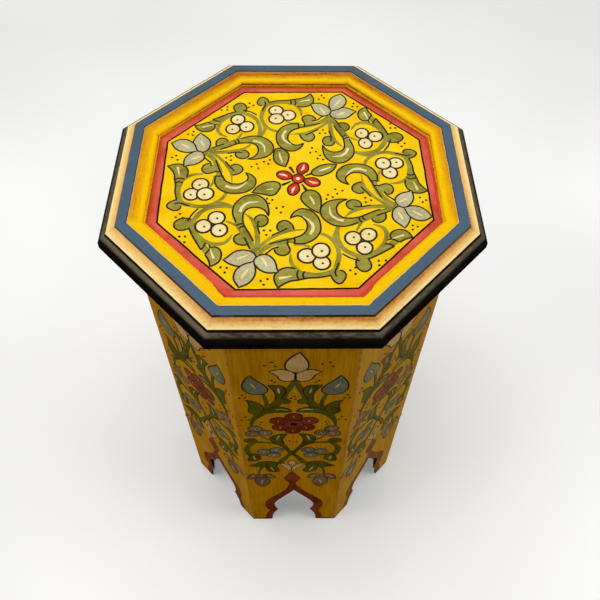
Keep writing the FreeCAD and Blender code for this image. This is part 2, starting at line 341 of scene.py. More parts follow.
@dataclass
class Motif:
    """A group of marks that is painted as one."""

    marks: list[Patch | Stroke]
    resolution: int = 5

    def curve(self, mark: Patch | Stroke, lift: float) -> Object:
        """Draws one mark as a curve, flat for a patch and as a ribbon for a stroke.

        Args:
            mark: The mark.
            lift: Height of the mark above its ground, in millimetres.

        Returns:
            The curve's object, in millimetres.
        """
        data = bpy.data.curves.new("mark", "CURVE")
        data.resolution_u = self.resolution
        spline = data.splines.new("BEZIER")
        spline.bezier_points.add(len(mark.points) - 1)
        filled = isinstance(mark, Patch)
        spline.use_cyclic_u = filled or mark.closed
        for i, (knot, point) in enumerate(zip(spline.bezier_points, mark.points)):
            knot.co = (point[0], point[1], 0.0)
            corner = len(point) > 2 if filled else i in mark.sharp
            knot.handle_left_type = knot.handle_right_type = "VECTOR" if corner else "AUTO"
            if not filled:
                # A four-sided tube turned by an eighth has this half width and flat faces up and down.
                knot.radius = point[2] * math.sqrt(2)
                knot.tilt = math.radians(45)
        if filled:
            data.dimensions = "2D"
            data.fill_mode = "BOTH"
            data.extrude = lift
        else:
            data.dimensions = "3D"
            data.twist_mode = "Z_UP"
            data.fill_mode = "FULL"
            data.bevel_depth = 1.0
            data.bevel_resolution = 0
            data.use_fill_caps = True
        return bpy.data.objects.new("mark", data)

    def all_marks(self) -> list[Patch | Stroke]:
        """The marks with the dark line of every patch after it."""
        listed = []
        for mark in self.marks:
            listed.append(mark)
            if isinstance(mark, Patch) and mark.edge is not Edge.NONE:
                hue = Hue.BODY_LINE if mark.hue.value.gloss == DULL else Hue.LINE
                corners = tuple(i for i, p in enumerate(mark.points) if len(p) > 2)
                points = tuple((p[0], p[1], mark.line) for p in mark.points)
                listed.append(Stroke(hue, points, mark.edge is Edge.ROUND, corners))
        return listed

    def meshes(self) -> list[Mark]:
        """Turns every mark into a thin closed mesh on its ground, each a little higher than the one before.

        Returns:
            Each mark's paint and mesh, in millimetres.
        """
        listed = self.all_marks()
        tops = [FILM + i * RISE for i in range(len(listed))]
        drawn = [self.curve(mark, top) for mark, top in zip(listed, tops)]
        for item in drawn:
            bpy.context.scene.collection.objects.link(item)
        graph = bpy.context.evaluated_depsgraph_get()
        made = []
        for mark, top, item in zip(listed, tops, drawn):
            mesh = bpy.data.meshes.new_from_object(item.evaluated_get(graph))
            for vertex in mesh.vertices:
                vertex.co.z = top if vertex.co.z > 0 else -SINK
            made.append((mark.hue, mesh))
        for item in drawn:
            curve = item.data
            bpy.data.objects.remove(item)
            bpy.data.curves.remove(curve)
        return made


@dataclass(frozen=True)
class Placing:
    """Where a motif is painted, how far the hand strays there, and spots where it went a given way."""

    matrix: Matrix
    seed: float
    stray: float = 0.6
    reach: float = 26.0
    pulls: tuple[tuple[Point, Point], ...] = ()

    def put(self, sheet: bmesh.types.BMesh, mesh: Mesh) -> None:
        """Adds a mark's mesh to a sheet of paint, at its place.

        Args:
            sheet: The sheet that collects one paint.
            mesh: The mark, in millimetres.
        """
        first = len(sheet.verts)
        sheet.from_mesh(mesh)
        fresh = list(sheet.verts)[first:]
        for vertex in fresh:
            spot = Vector((vertex.co.x / self.reach, vertex.co.y / self.reach, self.seed))
            drift = noise.noise_vector(spot) * self.stray
            for middle, way in self.pulls:
                near = (vertex.co.xy - Vector(middle)).length / self.reach
                drift += Vector((*way, 0.0)) * math.exp(-near ** 2)
            vertex.co += Vector((drift.x, drift.y, 0.0))
        bmesh.ops.transform(sheet, matrix=self.matrix, verts=fresh)


@dataclass
class Ornament:
    """All the paint on one kind of surface, gathered as one piece per paint."""

    prefix: str
    slot: str
    sheets: dict[Hue, bmesh.types.BMesh] = field(default_factory=dict)

    def paint(self, marks: list[Mark], placings: list[Placing]) -> None:
        """Paints a motif at each of its places.

        Args:
            marks: The motif's meshes.
            placings: The places.
        """
        for placing in placings:
            for hue, mesh in marks:
                placing.put(self.sheets.setdefault(hue, bmesh.new()), mesh)
        for _, mesh in marks:
            bpy.data.meshes.remove(mesh)

    def build(self) -> None:
        """Makes one piece per paint, riding on the body and dressed with that paint."""
        for hue, sheet in self.sheets.items():
            bmesh.ops.recalc_face_normals(sheet, faces=sheet.faces)
            mesh = bpy.data.meshes.new(self.prefix + hue.value.name)
            sheet.to_mesh(mesh)
            sheet.free()
            piece = bpy.data.objects.new(mesh.name, mesh)
            bpy.context.scene.collection.objects.link(piece)
            mesh.materials.append(hue.value.material())
            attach(piece, BODY)
            LOG.info("%s: %d faces", piece.name, len(mesh.polygons))


@dataclass
class TopOrnament:
    """The painted field inside the rim: four sprays in a pinwheel round a red flower."""

    level: float = BOARD_TOP
    middle: Point = (3.0, -0.75)
    turns: tuple[float, ...] = (0.0, 91.0, 181.1, 270.5)
    scales: tuple[float, ...] = (1.0, 0.97, 0.975, 0.966)
    shifts: tuple[Point, ...] = ((0.0, 0.0), (2.3, -1.4), (1.7, 1.6), (-3.9, 2.3))
    pulls: tuple = ((), (((-36.0, -90.0), (0.0, -3.0)), ((-70.0, -95.0), (2.2, -1.0))),
                    (((-80.0, -52.0), (4.0, 1.0)),), (((12.0, -58.0), (-1.0, 2.5)),))
    seed_step: float = 11.3
    hub: Point = (4.7, 0.0)
    hub_seed: float = 77.0
    stamen_turns: tuple[float, ...] = (28, 118, -152, -62)
    petal_turns: tuple[float, ...] = (72, -18, -108, 162)
    ring: float = 1.0
    pupil: Point = (0.8, -0.6)
    fold: float = 0.8

    def spray(self) -> Motif:
        """One quarter: a pale flower, its forked stem, two crescent leaves, two ringed berry clusters.

        Returns:
            The motif.
        """
        knobs = (
            ((-36.6, -55), (-36, -50), (-32.5, -46.8), (-28, -46.6), (-24.8, -49.5), (-24, -54.5),
             (-26.3, -58.8), (-30, -60.5), (-33.5, -60)),
            ((-13.6, -65.3), (-15.6, -60.8), (-14, -56), (-10, -53.2), (-6, -53.8), (-2.5, -57), (-0.5, -61),
             (0, -64.3)),
            ((-17.6, -86.8), (-16.2, -90.5), (-13, -93), (-9, -93.8), (-5, -92), (-3, -88), (-4, -84),
             (-6, -79.5)),
            ((-44.5, -68), (-49, -68.5), (-53, -71), (-54.3, -75.5), (-51.5, -80), (-46.5, -81.6),
             (-42, -81)),
            ((-95.5, -52), (-101, -50.5), (-107, -52), (-110.5, -57.5), (-107.5, -63.5), (-101.5, -64.8),
             (-96, -62.5)),
            ((32.2, -115), (33.8, -119.5), (36.5, -123), (40.5, -124.2), (43.8, -121.3), (45.8, -115.5),
             (44.6, -111.8), (40.5, -109.8)),
        )
        stems = (
            ((-57, -36.5, 2.0), (-66, -35.5, 2.0), (-75, -36.5, 2.0), (-85, -41, 2.2), (-91, -49, 2.5),
             (-94, -57, 2.4), (-92, -66, 2.8), (-86.5, -76.5, 3.2), (-81, -85, 3.2), (-77, -90, 3.4)),
            ((-90, -67, 1.2), (-83, -75.5, 2.0), (-75, -80, 2.0), (-66, -80.5, 2.0), (-60, -77, 1.6),
             (-56, -69.5, 0.5)),
            ((-63, -54, 1.0), (-50, -60, 1.8)),
            ((22, -68, 1.6), (30, -71, 1.7), (36, -77, 1.8), (40, -85, 2.0), (41, -93, 2.2), (39, -102, 2.4),
             (36, -110, 2.6), (30, -113.5, 2.6), (20, -115.5, 2.7), (9, -115, 4.0), (1, -114.6, 4.8)),
            ((-2.5, -92, 0.8), (-2, -100, 1.6), (1, -107, 2.0), (6, -112, 2.0)),
            ((0, -81, 1.2), (8, -81.5, 1.2), (15, -84, 1.0)),
            ((40, -84, 1.8), (37, -75, 1.8), (38.5, -68, 1.8), (42, -61, 1.8)),
            ((-33, -93, 1.6), (-37, -85, 2.8), (-42, -75, 3.3), (-47, -65, 3.5), (-51, -57, 3.6)),
            ((-33, -88, 2.2), (-33.5, -70, 2.3), (-36, -58, 2.0), (-40, -50, 1.5), (-46.5, -43.5, 0.5)),
            ((-32, -92, 1.8), (-24, -83.5, 2.6), (-15, -79, 2.6), (-5, -76.5, 2.8), (1, -77, 3.0)),
            ((-32, -85, 1.8), (-25, -77, 1.6), (-15, -70, 1.6), (-5, -66, 1.3), (10, -64, 0.4)),
        )
        leaves = (
            ((-53.5, -56), (-57.5, -40), (-52, -27.5), (-40, -20.8), (-28.5, -25.5), (-23.6, -37),
             (-23.3, -47.8, 1), (-28, -39.8), (-37, -36.7), (-45.5, -41), (-47.3, -50), (-46.3, -57.5)),
            ((0, -80), (12, -79.5), (22.5, -70.5), (25, -57.5), (20, -44.5), (9.5, -38.8), (1, -42.5),
             (-3.6, -50.5, 1), (4, -47.6), (10.5, -52), (12.7, -60), (8.5, -69.5), (0, -73.7)),
            ((-75, -84.3), (-70, -84.2), (-65.8, -87.8), (-64.4, -94), (-66.8, -101), (-73.8, -106, 1),
             (-75.6, -99.3), (-79.2, -92.8)),
            ((2, -108.2), (-6, -107.3), (-13, -110.5), (-16.8, -117.5), (-13.8, -128.8, 1), (-8.5, -124.5),
             (-2, -121.2), (4.5, -120.2)),
        )
        petals = (
            ((-62.5, -98.5, 1), (-47, -87.3), (-33.5, -94.5), (-38, -102.5), (-48, -105.3), (-57, -102.5)),
            ((-35.3, -99.5), (-28, -92.5), (-19, -96.5), (-13.2, -112.3, 1), (-24, -112.3), (-32.5, -106)),
            ((-35.3, -100, 1), (-33.3, -112), (-38, -122.5), (-47.5, -128.2, 1), (-52.6, -117),
             (-47.5, -105.5)),
        )
        berries = ((-72, -50, 7.7), (-83.5, -60, 7.5), (-68.5, -64.5, 7.5), (25.2, -101.5, 7.6),
                   (12, -93.8, 7.9), (24.8, -88.2, 8.0))
        folds = (
            ((-39.5, -86), (-42, -80), (-45, -73)),
            ((-46.3, -57.5), (-43.5, -63.5), (-40, -70), (-37, -77)),
            ((-31.3, -69), (-33, -62), (-33.2, -57), (-32.5, -53.5)),
            ((-22, -80.5), (-10, -77), (0, -74), (7, -71)),
            ((-6, -62.3), (-12, -66), (-20, -70.7)),
            ((-13.5, -84.5), (-19, -86), (-23, -90), (-26.5, -92.8)),
            ((-53.3, -59.3), (-50.5, -57.6), (-46.5, -57)),
            ((-50.3, -62.7), (-48, -60.7), (-45, -60)),
            ((-5.5, -80), (-5.2, -77.5), (-6.2, -75.2)),
            ((0.3, -80), (1.2, -77), (0, -73.7)),
            ((-90.3, -39), (-95, -45.5), (-98.6, -54.5)),
            ((-96.6, -62), (-94, -68.5), (-89, -78), (-83.6, -87.3)),
            ((-83.6, -87.3), (-81.6, -84), (-80, -79.2)),
            ((-79.2, -92.5), (-76.6, -88.3), (-75.4, -84.8), (-76.4, -81.4)),
            ((40.4, -101.5), (38.7, -106), (36.8, -110.2), (36.4, -113.5), (37.4, -117)),
            ((32.5, -115.5), (22, -117.9), (13, -118.4), (4.5, -120.2)),
            ((4.3, -119.3), (3.3, -114.3), (4.4, -110)),
            ((9.3, -118.5), (8.3, -114.5), (9.8, -111.2)),
        )
        lights = (
            ((-50.5, -97.5, 1.0), (-46, -95.5, 1.5), (-41, -93, 0.5)),
            ((-28, -96, 0.7), (-25.5, -101, 1.5), (-23, -106, 0.6)),
            ((-40, -108.5, 0.6), (-43, -113.5, 1.6), (-46, -118.5, 0.7)),
            ((-50.5, -42.5, 1.6), (-48, -36, 1.4), (-42, -31, 1.1), (-33, -30, 0.4)),
            ((9, -48.5, 0.4), (16, -55, 1.2), (18, -61, 1.7), (15, -70, 1.4)),
            ((-75, -86, 0.4), (-73, -92, 0.9), (-71, -97.5, 1.2)),
            ((-12.5, -118.5, 1.4), (-7, -117.5, 1.0), (-1, -116, 0.4)),
        )
        specks = ((-16, -38), (-10, -36.5), (-12, -43.5), (-27.5, -65), (-21.5, -65), (-25, -70),
                  (-64.5, -106.5), (-59, -107), (-60.5, -112), (-28.5, -121.5), (-22.5, -119.5),
                  (-26, -125.5), (-104, -72), (-99, -72), (-99, -78.5), (33, -21), (37.5, -24),
                  (31.5, -26.5), (50, -110), (55, -107), (54.5, -114))
        marks = [Patch(Hue.OLIVE, points, Edge.OPEN) for points in knobs]
        marks += [Stroke(Hue.OLIVE, points) for points in stems]
        marks += [Patch(Hue.OLIVE, points, Edge.OPEN) for points in leaves]
        marks += [Patch(Hue.PETAL, points) for points in petals]
        for x, y, radius in berries:
            marks.append(disc(Hue.BERRY, x, y, radius, line=self.ring))
            marks += dots(Hue.LINE, (x + self.pupil[0], y + self.pupil[1]))
        marks += [Stroke(Hue.LINE, tuple((x, y, self.fold) for x, y in points)) for points in folds]
        marks += [Stroke(Hue.LIGHT, points) for points in lights]
        marks += dots(Hue.LINE, *specks)
        return Motif(marks)

    def heart(self) -> Motif:
        """The red flower in the middle with its stamens and four leaves.

        Returns:
            The motif.
        """
        stamen = ((8, 0, 0.8), (13, 0, 1.2), (18, 0, 1.7))
        petal = ((6.2, 0), (10, -4.3), (16, -5.6), (22.3, 0), (16, 5.6), (10, 4.3))
        streak = ((11, 0.4, 0.5), (15, -0.4, 1.3), (19.5, 0.3, 0.6))
        leaves = (
            ((11.5, -16.5), (18, -15), (24.5, -20), (26.5, -28), (25, -44.5, 1), (16, -38), (9, -30),
             (7.3, -24)),
            ((18, 7), (24, 16), (33, 19.5), (43, 19.5, 1), (39, 11), (30, 5), (24, 3.5)),
            ((-13, -8), (-16, -5), (-24, -4.5), (-33, -9), (-40, -18, 1), (-30, -20), (-20, -21.5),
             (-15, -16)),
            ((-8, 16, 1), (-5, 27), (-6, 36), (-16, 42), (-20, 33), (-17, 21)),
        )
        lights = (
            ((15.5, -22, 0.5), (18, -27, 1.2), (20, -33, 0.6)),
            ((25, 10, 0.5), (31, 12.8, 1.2), (37, 15.5, 0.6)),
            ((-20, -13.5, 0.9), (-26, -14.5, 0.5)),
            ((-14.5, 36, 0.5), (-13, 29, 1.2), (-11, 22, 0.6)),
        )
        marks = [Stroke(Hue.LINE, turned(stamen, self.hub, turn)) for turn in self.stamen_turns]
        for turn in self.petal_turns:
            marks.append(Patch(Hue.RED, turned(petal, self.hub, turn)))
            marks.append(Stroke(Hue.LIGHT, turned(streak, self.hub, turn)))
        marks += [disc(Hue.RED, *self.hub, 5.9), disc(Hue.LIGHT, *self.hub, 2.0, Edge.NONE, 5)]
        marks += [Patch(Hue.OLIVE, points) for points in leaves]
        marks += [Stroke(Hue.LIGHT, points) for points in lights]
        return Motif(marks)

    def build(self) -> None:
        """Paints the sprays and the flower onto the board."""
        ornament = Ornament("top_", "painted_board")
        lift = Matrix.Translation((0, 0, self.level * MM)) @ Matrix.Scale(MM, 4)
        middle = Matrix.Translation((*self.middle, 0))
        quarters = zip(self.turns, self.scales, self.shifts, self.pulls)
        placings = []
        for i, (turn, scale, shift, pulls) in enumerate(quarters):
            plan = Matrix.Diagonal((scale, scale, 1, 1))
            around = middle @ Matrix.Rotation(math.radians(turn), 4, "Z") @ plan @ middle.inverted()
            place = lift @ Matrix.Translation((*shift, 0)) @ around
            placings.append(Placing(place, self.seed_step * i, pulls=pulls))
        ornament.paint(self.spray().meshes(), placings)
        ornament.paint(self.heart().meshes(), [Placing(lift, self.hub_seed)])
        ornament.build()


@dataclass
class PanelOrnament:
    """The spray painted on every side panel and the dark red border of its arch."""

    apothem: float = 154.0
    drawn_height: float = 595.0
    lean: float = 0.0169
    lean_zero: float = 397.0
    seed_step: float = 5.7
    stray: float = 0.9
    reach: float = 34.0
    sway: float = 2.4
    sway_rise: Point = (146, 180)

    def half(self) -> list[Patch | Stroke]:
        """The marks on the right of a panel's middle line.

        Returns:
            The marks, across from the middle and up from the floor.
        """
        olive, light = Hue.BODY_OLIVE, Hue.BODY_LIGHT
        part, whole = Edge.OPEN, Edge.ROUND
        lobe = ((12.5, 444.5), (7, 443), (4.2, 438), (5.4, 433), (9, 431.3), (14, 433))
        stems = (
            ((0.5, 487, 2.8), (5, 471, 3.4), (10.5, 455, 4.2), (14, 442, 5.4), (21, 428, 5.8),
             (31, 414, 5.5)),
            ((33, 457, 2.0), (31, 445, 2.4), (29.5, 432, 2.4), (30, 418, 3.0)),
            ((32, 412, 6.0), (39, 402, 5.0), (44.5, 390, 3.2), (47, 379, 2.2), (47.2, 369, 1.2)),
            ((38, 342, 1.1), (28, 329, 1.5)),
            ((17, 319, 5.0), (10, 308, 3.4), (6, 298, 3.0), (1.5, 288, 3.6), (-5, 276, 3.0), (-11, 262, 3.8),
             (-17, 247, 5.0)),
            ((17, 317, 2.6), (26, 320.5, 2.5), (36, 321.5, 2.8), (46, 323, 4.0)),
            ((46, 322, 3.0), (52.5, 311, 3.6), (55.2, 300, 3.8), (54, 287, 3.8), (49, 276, 5.0)),
            ((46, 283, 2.0), (38, 279.5, 1.9), (29, 280, 1.4)),
            ((37, 240, 2.4), (40.5, 228, 1.8), (42.7, 215, 1.7), (42.5, 201, 1.5)),
        )
        leaves = (
            (0.55, ((19.5, 440), (19.5, 452), (21.5, 463), (28, 476.5, 1), (20, 477), (12, 474), (8.8, 465),
             (10, 455), (14, 444))),
            (0.5, ((44, 404), (49.5, 411), (48.5, 423), (48.7, 434), (51.7, 442, 1), (43, 437.5),
             (35.5, 429), (33, 418), (37, 407))),
            (0.5, ((33, 407), (18, 409.3), (9, 409.5), (3, 411.5), (4.5, 417), (10, 421.5), (17, 423.5),
             (25, 421), (33, 414))),
            (0.6, ((18, 316), (25, 324), (27, 334), (23, 343), (15, 348), (6.5, 348.5, 1), (10.3, 340),
             (12, 329), (11, 317))),
            (0.45, ((46, 286), (52, 277), (55, 268), (55.5, 257.5, 1), (48, 258), (41.5, 262), (39.5, 270),
             (42, 280))),
            (0.4, ((18, 247), (22, 254.5), (32, 257.5), (41, 254), (48, 246.5), (56, 239.5, 1), (47, 237),
             (38, 235), (25, 240))),
            (0.4, ((18, 246), (19, 236), (16, 226), (16.5, 218.5), (25, 216.5), (31.5, 222), (33, 232),
             (34, 243))),
        )
        blooms = (
            (Hue.SLATE, whole, 0.7, ((45.5, 498.5, 1), (51.5, 487), (54, 474.5), (51, 462.5), (44, 455.7),
             (37, 455), (30, 458.5), (27.5, 466.5), (31, 476), (39, 487))),
            (Hue.TULIP, whole, 0.75, ((0.9, 503), (7, 509), (15, 511.5), (26, 506.5, 1), (19.5, 499),
             (15.5, 489.5), (9, 485.5), (1.4, 488), (0.8, 495))),
            (Hue.TULIP, whole, 0.4, ((15, 249, 1), (12, 239), (6, 229), (0.4, 218, 1), (0.6, 232), (3, 241),
             (8, 246.5))),
            (Hue.MAUVE, part, 0.5, ((40, 206), (31, 209.5), (25, 204), (20.5, 194.5, 1), (29, 191),
             (36, 196))),
            (Hue.MAUVE, part, 0.5, ((43, 206), (51, 208), (57, 202), (61.2, 187, 1), (53, 187.5),
             (46, 195))),
            (Hue.MAUVE, whole, 0.5, ((41, 198), (32, 190), (28.5, 178), (31.5, 166), (39, 154.5, 1),
             (46, 166), (49.5, 178), (48, 190))),
        )
        berries = (
            (Hue.MAUVE, 8.2, 0.5, ((43.5, 363.5), (33, 351.5), (47, 348.5))),
            (Hue.SLATE, 8.3, 1.0, ((19.5, 296.5), (34.7, 291.5), (23, 279))),
        )
        lights = (
            ((16.8, 470, 0.6), (16.4, 464, 1.2), (15.6, 457, 0.4)),
            ((7, 415.5, 0.4), (13, 417.6, 1.2), (20, 416.5, 0.6)),
            ((15.8, 343, 0.5), (18, 337, 1.2), (19.6, 329, 0.4)),
            ((48, 276, 0.4), (47.6, 269, 1.3), (46, 263, 0.5)),
            ((27.5, 237, 0.4), (25.5, 230, 1.2), (23, 222, 0.4)),
            ((46, 482, 0.4), (43, 475, 1.3), (40.5, 469, 0.4)),
            ((31, 204, 0.5), (28, 200, 1.1), (25, 196, 0.4)),
            ((49, 204, 0.5), (52, 199, 1.1), (55, 193, 0.4)),
            ((38, 184, 0.5), (40, 176, 1.4), (39.5, 167, 0.5)),
        )
        specks = ((24, 487.5), (20.5, 483.5), (52, 447), (57.5, 447), (54.5, 454), (53, 397.5), (50, 390),
                  (58, 389.5), (35.5, 383), (37, 377))
        marks = [Patch(olive, lobe, part, 0.6)]
        marks += [Stroke(olive, points) for points in stems]
        marks.append(disc(olive, 50, 327, 8.4, Edge.NONE))
        marks += [Patch(olive, points, part, line) for line, points in leaves]
        marks += [Patch(hue, points, edge, line) for hue, edge, line, points in blooms]
        for hue, radius, dab, places in berries:
            for x, y in places:
                marks.append(disc(hue, x, y, radius, line=0.45))
                marks.append(Stroke(light, ((x - 1.2, y + 1.8, 0.5 * dab), (x + 0.2, y - 1.2, 1.2 * dab),
                                            (x + 0.8, y - 3.2, 0.4 * dab))))
        marks += [Stroke(light, points) for points in lights]
        marks += dots(Hue.BODY_LINE, *specks)
        return marks

    def spray(self) -> Motif:
        """The whole spray of a panel, with the marks that lie on its middle line.

        Returns:
            The motif.
        """
        bud = ((0.6, 505, 1), (10.3, 511.5), (12.2, 521.5), (9.0, 534), (3.6, 546, 1), (-6, 534.5),
               (-10.7, 522.5), (-8.9, 511.8))
        small_bud = ((0, 260.5, 1), (4.8, 253), (3.5, 245.5), (0, 241.5, 1), (-3.5, 245.5), (-4.8, 253))
        berries = ((0, 397.5, 9.6), (-16.6, 386.6, 9.8), (-15, 367.6, 9.2), (-0.5, 358.5, 9.0),
                   (15, 367.4, 9.2), (17.2, 386.6, 9.8))
        specks = ((-3.5, 446), (1.5, 444), (0, 451), (-4, 326), (4, 323), (25.5, 523), (33, 526.5),
                  (36, 518.5), (-30, 520), (-23, 526.5), (-20, 518))
        eye = (0.5, 377.5)
        marks = [mark for m in self.half() for mark in (replace(m, points=mirror(m.points)), m)]
        marks += [Patch(Hue.TULIP, bud, line=0.75), Patch(Hue.TULIP, small_bud, line=0.45)]
        for x, y, radius in berries:
            marks.append(disc(Hue.BODY_RED, x, y, radius, line=0.4))
            marks.append(Stroke(Hue.BODY_LIGHT, ((x - 0.6, y + 2, 0.3), (x, y, 0.8), (x + 0.3, y - 2, 0.3))))
        marks += [disc(Hue.BODY_RED, *eye, 11.0, line=0.4), disc(Hue.BODY_LINE, *eye, 4.0, Edge.NONE)]
        marks += dots(Hue.BODY_LINE, *specks)
        return Motif(marks, 3)

    def border(self) -> Motif:
        """The dark red band round the arch, drawn up into a spade-shaped finial that sways to the left.

        Returns:
            The motif.
        """
        spade = ((0, 224, 1), (6.5, 210), (11.2, 195), (8.2, 184))
        outer = ((4.2, 174.5), (7.6, 160), (12, 147.5), (20.3, 130), (29, 116.5), (36.5, 104), (42, 89),
                 (42.9, 75), (41, 60), (37, 48.5, 1), (40, 37), (42.5, 25), (44.2, 11), (44.5, 0.3, 1))
        arch = ((38.2, 0.3, 1), (35.3, 1.3), (34.15, 4.2), (32.85, 21.5), (29.4, 37.2), (24.45, 50, 1),
                (27.5, 60.4), (29.05, 76), (25.8, 91.7), (17.95, 109.2), (8.4, 127.1), (0, 144.3, 1))
        right = spade + outer + arch
        low, high = self.sway_rise
        swayed = []
        for x, up, *corner in right + mirror(right[-2:0:-1]):
            share = min(1.0, max(0.0, (up - low) / (high - low)))
            swayed.append((x - self.sway * share, up, *corner))
        return Motif([Patch(Hue.ARCH_RED, tuple(swayed), Edge.NONE)], 6)

    def build(self) -> None:
        """Paints every panel with the spray and the border of its arch."""
        ornament = Ornament("panel_", "painted_panel")
        upright = Matrix.Rotation(math.radians(90), 4, "X")
        lean = Matrix.Identity(4)
        lean[0][1] = self.lean
        lean[0][3] = -self.lean * self.lean_zero
        lean[1][3] = BODY_TOP - self.drawn_height
        face = Matrix.Translation((0, -self.apothem * MM, 0)) @ upright @ Matrix.Scale(MM, 4)
        faces = [Matrix.Rotation(SIDE_TURN * i, 4, "Z") @ face for i in range(SIDES)]
        sprays = [Placing(m @ lean, self.seed_step * i, self.stray, self.reach) for i, m in enumerate(faces)]
        ornament.paint(self.spray().meshes(), sprays)
        ornament.paint(self.border().meshes(), [Placing(m, 0.0, 0.0) for m in faces])
        ornament.build()


@dataclass(frozen=True)
class BoardPaint:
    """The painted top board: yellow field, red border with a black liner, black rounded edge with dust and a
    painted highlight.
    """

    liner: float = 128.0
    border: float = 129.8
    waver: float = 1.4
    middle: Point = (1.3, -0.6, 0.0)
    turn: float = 0.8
    rim_browning: float = 132.0
    edge: float = 158.0
    wall: float = 172.2
    underside: float = BODY_TOP + 1.0
    shoulder: float = BODY_TOP + 17.4

    def material(self) -> Material:
        """Makes the board's bands follow the eight sides.

        Returns:
            The material.
        """
        surface = Surface.new("matt_painted_board", 0.45, DULL)
        add = surface.add
        right, back, up = surface.axes()
        out, _ = surface.octagon()
        drawn, _ = surface.octagon(self.middle, self.turn)
        loose = surface.grain((22.0, 22.0, 22.0), 2.0)
        mottle = surface.grain((40.0, 26.0, 40.0), 5.0, 0.6)
        hairs = surface.grain((1.6, 14.0, 3.0), 3.0, 0.3)
        rough = surface.grain((8.0, 8.0, 1.0), 5.0, 0.5)
        mixed = add("Math.MULTIPLY_ADD", {0: hairs, 1: 0.35, 2: mottle})
        yellow = add("ValToRGB", {0: mixed}, ((0.46, "#f5bc08"), (0.64, "#fccd0e"), (0.86, "#fbd722")))
        red = add("ValToRGB", {0: mixed}, ((0.46, "#bb4832"), (0.64, "#dc5c47"), (0.86, "#e76a54")))
        black = add("ValToRGB", {0: mixed}, ((0.46, "#1e1710"), (0.6, "#14100b"), (0.86, "#0d0a06")))
        dust_and_highlight = add("ValToRGB", {0: rough}, ((0.38, "#5f5645"), (0.5, "#4a4336"), (0.62, "#363027")))
        wood = add("ValToRGB", {0: hairs}, ((0.35, "#8a6a42"), (0.5, "#b08c5c"), (0.7, "#c6a474")))
        # The upper rounding of the black edge is dusty and painted lighter as a highlight, and the painted
        # highlight is paler still at the sides and at the front left.
        side_highlight = add("MapRange", {0: add("Math.ABSOLUTE", {0: right}), 1: 50.0, 2: 110.0, 4: 0.3})
        front_left_highlight = add("MapRange", {0: surface.toward(FRONT_LEFT), 1: 166.0, 2: 176.0, 4: 0.75})
        pale = add("Math.MAXIMUM", {0: side_highlight, 1: front_left_highlight})
        paler = add("Mix.RGBA", {0: pale, 1: dust_and_highlight, 2: "#746b56"})
        rounded = add("MapRange", {0: up, 1: self.shoulder, 2: self.shoulder + 1.8})
        bulged = add("MapRange", {0: out, 1: self.wall, 2: self.wall + 0.8})
        worn = add("Mix.RGBA", {0: add("Math.MULTIPLY", {0: rounded, 1: bulged}), 1: black, 2: paler})
        # The red border turns browner next to the rim at the back and at the left.
        behind = add("MapRange", {0: back, 2: 120.0, 4: 0.85})
        left = add("MapRange", {0: right, 1: -120.0, 2: -131.0, 4: 0.85})
        spread = add("Math.MAXIMUM", {0: behind, 1: left})
        near_rim = add("MapRange", {0: out, 1: self.rim_browning, 2: self.rim_browning + 4.0})
        rim_browning = add("Math.MULTIPLY", {0: spread, 1: near_rim})
        browned = add("Mix.RGBA", {0: rim_browning, 1: red, 2: "#a84a0c"})
        # From the middle outwards: yellow, the liner, the red border and the edge, with bare wood underneath.
        strayed = add("Math.MULTIPLY_ADD", {0: loose, 1: self.waver, 2: drawn})
        liner, border = self.liner + self.waver / 2, self.border + self.waver / 2
        line = add("MapRange", {0: strayed, 1: liner, 2: liner + 0.35})
        band = add("MapRange", {0: strayed, 1: border, 2: border + 0.3})
        above = add("MapRange", {0: up, 1: self.underside, 2: self.underside + 0.2})
        rim = add("MapRange", {0: out, 1: self.edge, 2: self.edge + 1.0})
        inked = add("Mix.RGBA", {0: line, 1: yellow, 2: black})
        bordered = add("Mix.RGBA", {0: band, 1: inked, 2: browned})
        faced = add("Mix.RGBA", {0: above, 1: wood, 2: bordered})
        edged = add("Mix.RGBA", {0: rim, 1: faced, 2: worn})
        gloss = add("MapRange", {0: hairs, 3: 0.34, 4: 0.52})
        return surface.finish(edged, hairs, 0.05, gloss)


